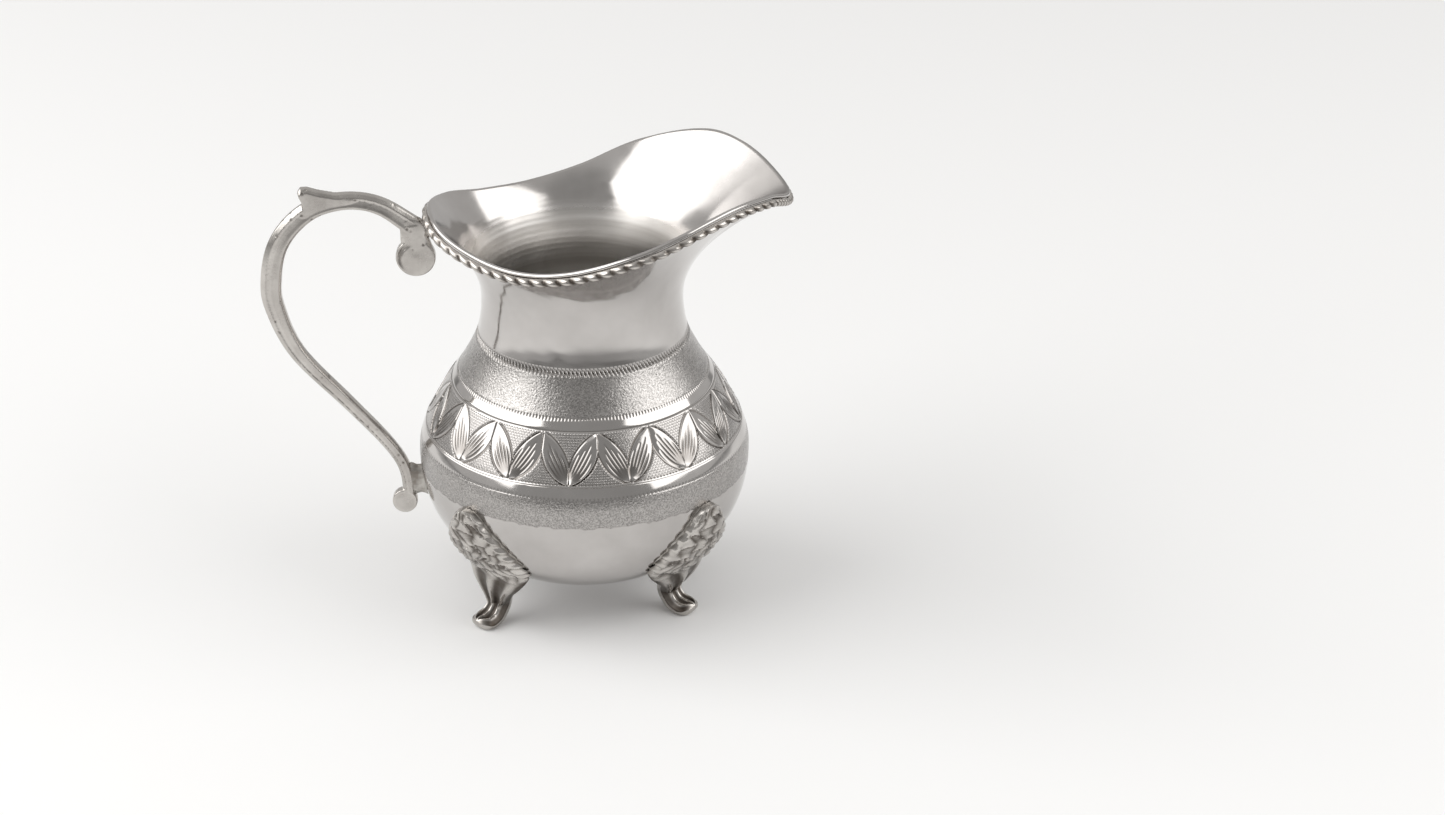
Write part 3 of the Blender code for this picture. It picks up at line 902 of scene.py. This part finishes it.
def move_points(obj, points, fields):
    mesh = obj.data
    mesh.vertices.foreach_set("co", (points * METRES + AXIS).astype(np.float32).ravel())
    for key, values in fields.items():
        field = mesh.attributes.new(key, "FLOAT", "POINT")
        field.data.foreach_set("value", values.astype(np.float32))
    mesh.shade_smooth()
    mesh.update()


def casting_pits(points, count, seed):
    """Small round pits scattered over a casting, as depths and dirt."""
    random = np.random.default_rng(seed)
    depth = np.zeros(len(points))
    for centre in points[random.integers(0, len(points), count)]:
        radius = random.uniform(0.14, 0.34)
        near = np.exp(-((points - centre) ** 2).sum(1) / radius**2)
        depth = np.maximum(depth, near * random.uniform(0.04, 0.13))
    return depth


def handle(material):
    """The cast scroll handle."""
    half = HANDLE_WIDTH / 2
    x, z, radius = UPPER_VOLUTE
    low_x, low_z, low_radius = LOWER_VOLUTE
    shapes = [
        handle_band(),
        pebble(x, z, radius, half),
        pebble(low_x, low_z, low_radius, half * 0.95),
        pebble(*HANDLE_ROOT, half),
        tapered_bar(STEM_TOP, (x + 0.5, z + 0.6), *STEM_HALF_WIDTHS, half),
        bevelled_plate(THUMB_SPUR, half),
    ]
    obj = fused("handle", shapes, 0.16, 3)
    points, normals = points_of(obj)
    on_face = step_between(0.55, 0.9, np.abs(normals[:, 1]))
    out_x, out_z = points[:, 0] - x, points[:, 2] - z
    far, way = np.hypot(out_x, out_z), np.degrees(np.arctan2(out_z, out_x)) % 360
    crescent = hump(far, radius - 0.95, 0.7) * hump(way, 165, 75) * on_face
    pits = casting_pits(points, 70, 12)
    # Painted shade: the handle's two broad faces are darkened a little with the tarnish colour; the
    # pits and scroll groove hold real tarnish.
    broad_faces_painted_shade = np.abs(points[:, 1]) > 1.2
    hollow = 0.10 * on_face * ripple(points[:, 0] * 0.1, points[:, 2], 5)
    points = points - normals * (pits + 0.38 * crescent + 0.25 * hollow)[:, None]
    tarnish_and_painted_shade = np.clip(pits * 7 + 0.55 * crescent + 0.12 * broad_faces_painted_shade, 0, 1)
    move_points(obj, points, {"tarnish_and_painted_shade": tarnish_and_painted_shade})
    return finish_piece(obj, material, "cast_silver", "handle")


# Feet


def foot_keys(leaf_degrees, toe_degrees, toe_radius):
    """Rows down a foot: outward, up, half width, half thickness, angle round from the spout."""
    z, width = FOOT_LEAF.T
    stand = body_normal(z) * (FOOT_LEAF_STANDOFF + FOOT_LEAF_HALF_THICKNESS)
    out, up = body_radius(z) + stand[:, 0], z + stand[:, 1]
    thickness = np.full(len(z), FOOT_LEAF_HALF_THICKNESS)
    leaf = np.stack((out, up, width, thickness, np.full(len(z), float(leaf_degrees))), -1)
    ankle = np.array((toe_radius + TOE[0][0], TOE[0][1]))
    rows = []
    for share, *size in UPPER_LEG:
        place = leaf[-1, :2] * (1 - share) + ankle * share
        rows.append((*place, *size, leaf_degrees + (toe_degrees - leaf_degrees) * share))
    for away, height, *size in TOE:
        rows.append((toe_radius + away, height, *size, toe_degrees))
    return np.concatenate((leaf, rows))


def foot_relief(t, s, width, leaf_end):
    """The modelling on a foot's face: beaded scroll edge and feathers above, flutes below."""
    in_leaf = 1 - step_between(leaf_end - 1.0, leaf_end + 3.0, s)
    beads = 0.62 + 0.38 * np.cos(TURN * s / BEAD_PITCH + 2.0 * np.sign(t))
    roll = hump(np.abs(t), 0.88, 0.15) * beads
    inset = 1 - step_between(0.74, 0.88, np.abs(t))
    sideways = t * width / 2.6 + 0.42 * np.sin(s * 0.47 + 2.1 * t) + 0.25 * np.sin(s * 1.1 - 3 * t)
    column = np.round(sideways)
    e = sideways - column
    climb = s / (4.3 + 0.9 * np.sin(3 * column)) + 0.41 * column
    climb += 0.15 * np.sin(2.3 * s + column) - 1.3 * e**2
    tip = climb - np.floor(climb)
    feather = tip**1.2 * (1 - 2.2 * e**2)
    barb = 0.5 + 0.5 * np.cos(TURN * (s / 0.62 + 2.2 * np.abs(e)))
    leaf = 0.85 * roll + inset * (0.62 * feather + 0.07 * barb - 0.12)
    flutes = 0.34 * np.cos(3 * math.pi * t) * step_between(leaf_end - 1.0, leaf_end + 4.0, s)
    return leaf * in_leaf + flutes


def toe_rounding(s):
    """Rounds off the last stretch of the toe: 1 above it, falling to nearly 0 at its end."""
    rounded = 1.6
    into_toe = ((s - s[-1] + rounded) / rounded).clip(0, 1)
    return np.sqrt(np.clip(1 - into_toe**2, 0.0004, 1))


def cast_foot(name, leaf_degrees, toe_degrees, toe_radius, material):
    """One foot: a feathered leaf laid on the bowl, a fluted leg and a turned-out toe."""
    keys = foot_keys(leaf_degrees, toe_degrees, toe_radius)
    steps = np.linalg.norm(np.diff(keys[:, :2], axis=0), axis=1)
    along = np.concatenate(((0,), np.cumsum(steps)))
    leaf_end = along[len(FOOT_LEAF) - 1]
    rows = 220
    half_columns = 71
    s = np.linspace(0, along[-1], rows)
    line = [curve_through(np.stack((along, column), -1), s, False) for column in keys.T]
    centre = np.stack(line[:2], -1)
    width, thick, degrees = line[2:]
    toe = toe_rounding(s)
    width = width * (1 + 0.035 * np.cos(TURN * s / BEAD_PITCH) * (s < leaf_end)) * toe
    thick = thick * toe
    normal = -sideways_of(directions(centre))
    t = np.sin(np.linspace(-math.pi / 2, math.pi / 2, half_columns))
    round_off = np.sqrt(np.clip(1 - t**4, 0, 1))
    relief = foot_relief(t, s[:, None], width[:, None], leaf_end)
    fade = step_between(0, 1.0, s)[:, None] * toe[:, None]
    front = thick[:, None] * round_off + relief * fade * round_off
    back = -thick[:, None] * round_off
    lift = np.concatenate((front, back[:, -2:0:-1]), 1)
    sideways = np.concatenate((t, t[-2:0:-1]))
    in_leaf = 1 - step_between(leaf_end - 1.0, leaf_end + 3.0, s)
    lift = lift - LEAF_HUG * in_leaf[:, None] * np.abs(sideways) ** 3
    section = centre[:, None, :] + normal[:, None, :] * lift[..., None]
    turn = np.radians(degrees)[:, None] + width[:, None] * sideways / centre[:, :1]
    section[..., 1] = np.maximum(section[..., 1], 0.0)
    dirt = (1 - step_between(-0.10, 0.34, relief)) * fade
    dirt = np.concatenate((dirt, 0.08 + 0 * back[:, -2:0:-1]), 1)
    points = around(turn, section)
    faces = grid_faces(rows, points.shape[1], caps=True)
    obj = mesh_of(name, points, faces, {"tarnish_and_painted_shade": dirt})
    face_outwards(obj)
    return finish_piece(obj, material, "cast_silver", name)


def foot_solder(name, degrees, seed, material):
    """Solder flowed round a foot's leaf, filling the space behind it."""
    rows = 90
    columns = 64
    z = np.linspace(FOOT_LEAF[0, 0] + 0.2, FOOT_LEAF[-2, 0] + 1.0, rows)
    width = curve_through(FOOT_LEAF[::-1], z)
    random = np.random.default_rng(seed)
    spots = np.arange(0, rows, 4)
    left, right = (
        width - 0.15 + 0.30 * np.interp(np.arange(rows), spots, random.uniform(-0.4, 1, len(spots)))
        for _ in range(2)
    )
    turn = np.arange(columns) * TURN / columns
    across = np.where(np.cos(turn) > 0, right[:, None], left[:, None]) * np.cos(turn)
    ends = np.sin(np.linspace(0.05, math.pi - 0.05, rows)) ** 0.4
    lift = 0.05 + (FOOT_LEAF_STANDOFF + 0.35) * np.sin(turn) * ends[:, None]
    surface = np.stack((body_radius(z), z), -1)
    section = surface[:, None, :] + body_normal(z)[:, None, :] * lift[..., None]
    points = around(math.radians(degrees) + across / surface[:, :1], section)
    obj = mesh_of(name, points, grid_faces(rows, columns, caps=True))
    face_outwards(obj)
    return finish_piece(obj, material, "solder", name)


def solder_lump(name, start, end, radius, tall, seed, material):
    """A lump of solder between two points (x, z), uneven as it froze."""
    rows = 40
    sides = 36
    t = np.linspace(0, 1, rows)[:, None]
    turn = np.arange(sides) * TURN / sides
    start, end = np.array(start, float), np.array(end, float)
    line = start + (end - start) * t
    way = (end - start) / np.linalg.norm(end - start)
    side = np.array((-way[1], way[0]))
    waist = 1 - 0.22 * np.sin(math.pi * t) + 0.10 * ripple(turn, 8 * t, seed, 6, 9, 3)
    caps = np.sqrt(np.clip(1 - (2 * t - 1) ** 8, 0.0004, 1))
    reach = radius * waist * caps
    points = np.zeros((rows, sides, 3))
    points[..., 0] = line[:, :1] + side[0] * reach * np.cos(turn) * tall
    points[..., 2] = line[:, 1:] + side[1] * reach * np.cos(turn) * tall
    points[..., 1] = reach * np.sin(turn)
    obj = mesh_of(name, points, grid_faces(rows, sides, caps=True))
    face_outwards(obj)
    return finish_piece(obj, material, "solder", name)


# Studio


def studio_floor():
    """Pale paper, its colour painted darker away from the jug as painted shade, where only the silver
    sees it.
    """
    bpy.ops.mesh.primitive_circle_add(vertices=96, radius=6, fill_type="NGON")
    floor = bpy.context.object
    floor.name = "studio_floor"
    material = bpy.data.materials.new("studio_paper")
    material.use_nodes = True
    shader = material.node_tree.nodes["Principled BSDF"]
    place = material.node_tree.nodes.new("ShaderNodeTexCoord")
    away = material.node_tree.nodes.new("ShaderNodeVectorMath")
    away.operation = "DISTANCE"
    away.inputs[1].default_value = (0, 0.13, 0)
    # Painted shade: the paper's colour falls from 0.93 near the jug to 0.40 further out.
    edge = material.node_tree.nodes.new("ShaderNodeMapRange")
    edge.interpolation_type = "SMOOTHSTEP"
    edge.inputs["From Min"].default_value = 0.34
    edge.inputs["From Max"].default_value = 0.52
    edge.inputs["To Min"].default_value = 0.93
    edge.inputs["To Max"].default_value = 0.40
    links = material.node_tree.links
    links.new(place.outputs["Object"], away.inputs[0])
    links.new(away.outputs["Value"], edge.inputs["Value"])
    links.new(edge.outputs["Result"], shader.inputs["Base Color"])
    shader.inputs["Roughness"].default_value = 0.9
    shader.inputs["Specular IOR Level"].default_value = 0.1
    floor.data.materials.append(material)


def soft_box(name, azimuth, elevation, size, radiance):
    """A rectangular soft light, turned to face the jug."""
    light = bpy.data.lights.new(name, "AREA")
    light.shape = "RECTANGLE"
    light.size, light.size_y = size
    light.energy = radiance * math.pi * size[0] * size[1]
    light.color = (1.0, 0.995, 0.985)
    lamp = bpy.data.objects.new(name, light)
    bpy.context.scene.collection.objects.link(lamp)
    a, e = math.radians(azimuth), math.radians(elevation)
    way = np.array((math.cos(a) * math.cos(e), math.sin(a) * math.cos(e), math.sin(e)))
    target = np.array((AXIS[0], AXIS[1], 0.05))
    lamp.location = target + way * LIGHT_DISTANCE
    lamp.rotation_euler = (math.pi / 2 - e, 0, a + math.pi / 2)


def studio_room():
    """A pale room with a dim side, low in front of the jug, that the silver reflects."""
    world = bpy.data.worlds.new("studio_room")
    bpy.context.scene.world = world
    world.use_nodes = True
    tree = world.node_tree
    background = tree.nodes["Background"]
    place = tree.nodes.new("ShaderNodeTexCoord")
    facing = tree.nodes.new("ShaderNodeVectorMath")
    facing.operation = "DOT_PRODUCT"
    facing.inputs[1].default_value = (0, -1, 0)
    tree.links.new(place.outputs["Generated"], facing.inputs[0])
    shade = tree.nodes.new("ShaderNodeMapRange")
    shade.interpolation_type = "SMOOTHSTEP"
    shade.inputs["From Min"].default_value = 0.42
    shade.inputs["From Max"].default_value = 0.66
    shade.inputs["To Min"].default_value = 0.62
    shade.inputs["To Max"].default_value = 0.40
    tree.links.new(facing.outputs["Value"], shade.inputs["Value"])
    tree.links.new(shade.outputs["Result"], background.inputs["Strength"])
    background.inputs["Color"].default_value = (1, 0.99, 0.975, 1)


def camera():
    """A long lens that looks a little down on the jug, from its right-hand side."""
    lens = bpy.data.cameras.new("camera")
    lens.lens = CAMERA_LENS
    lens.sensor_width = 36
    lens.clip_start = 0.01
    view = bpy.data.objects.new("camera", lens)
    bpy.context.scene.collection.objects.link(view)
    view.location = AXIS + np.array(CAMERA_PLACE)
    view.rotation_euler = (CAMERA_TILT, 0, 0)
    bpy.context.scene.camera = view


def main():
    camera()
    studio_floor()
    studio_room()
    soft_box("left_soft_box", 191, 35, (1.15, 0.80), 2.1)
    soft_box("right_soft_box", 345, 27, (0.95, 0.62), 1.8)

    silver = body_silver()
    neck_and_lip(silver)
    upper_matte_band(silver)
    leaf_band(silver)
    lower_matte_band(silver)
    bowl_bottom(silver)
    rim_border(relief_silver("border_silver", BORDER_BRIGHT, BORDER_DULL, 0.12, 0.26))
    cast = relief_silver("cast_silver", CAST_BRIGHT, CAST_DULL, 0.16, 0.30)
    handle(cast)
    solder = solder_metal()
    for number, (name, (leaf_degrees, toe_degrees, toe_radius)) in enumerate(FEET.items()):
        cast_foot(name, leaf_degrees, toe_degrees, toe_radius, cast)
        foot_solder(name + "_solder", leaf_degrees, 50 + number, solder)
    for name, shape in HANDLE_SOLDER.items():
        solder_lump(name, *shape, solder)
    bpy.context.scene.view_settings.view_transform = "Standard"


main()
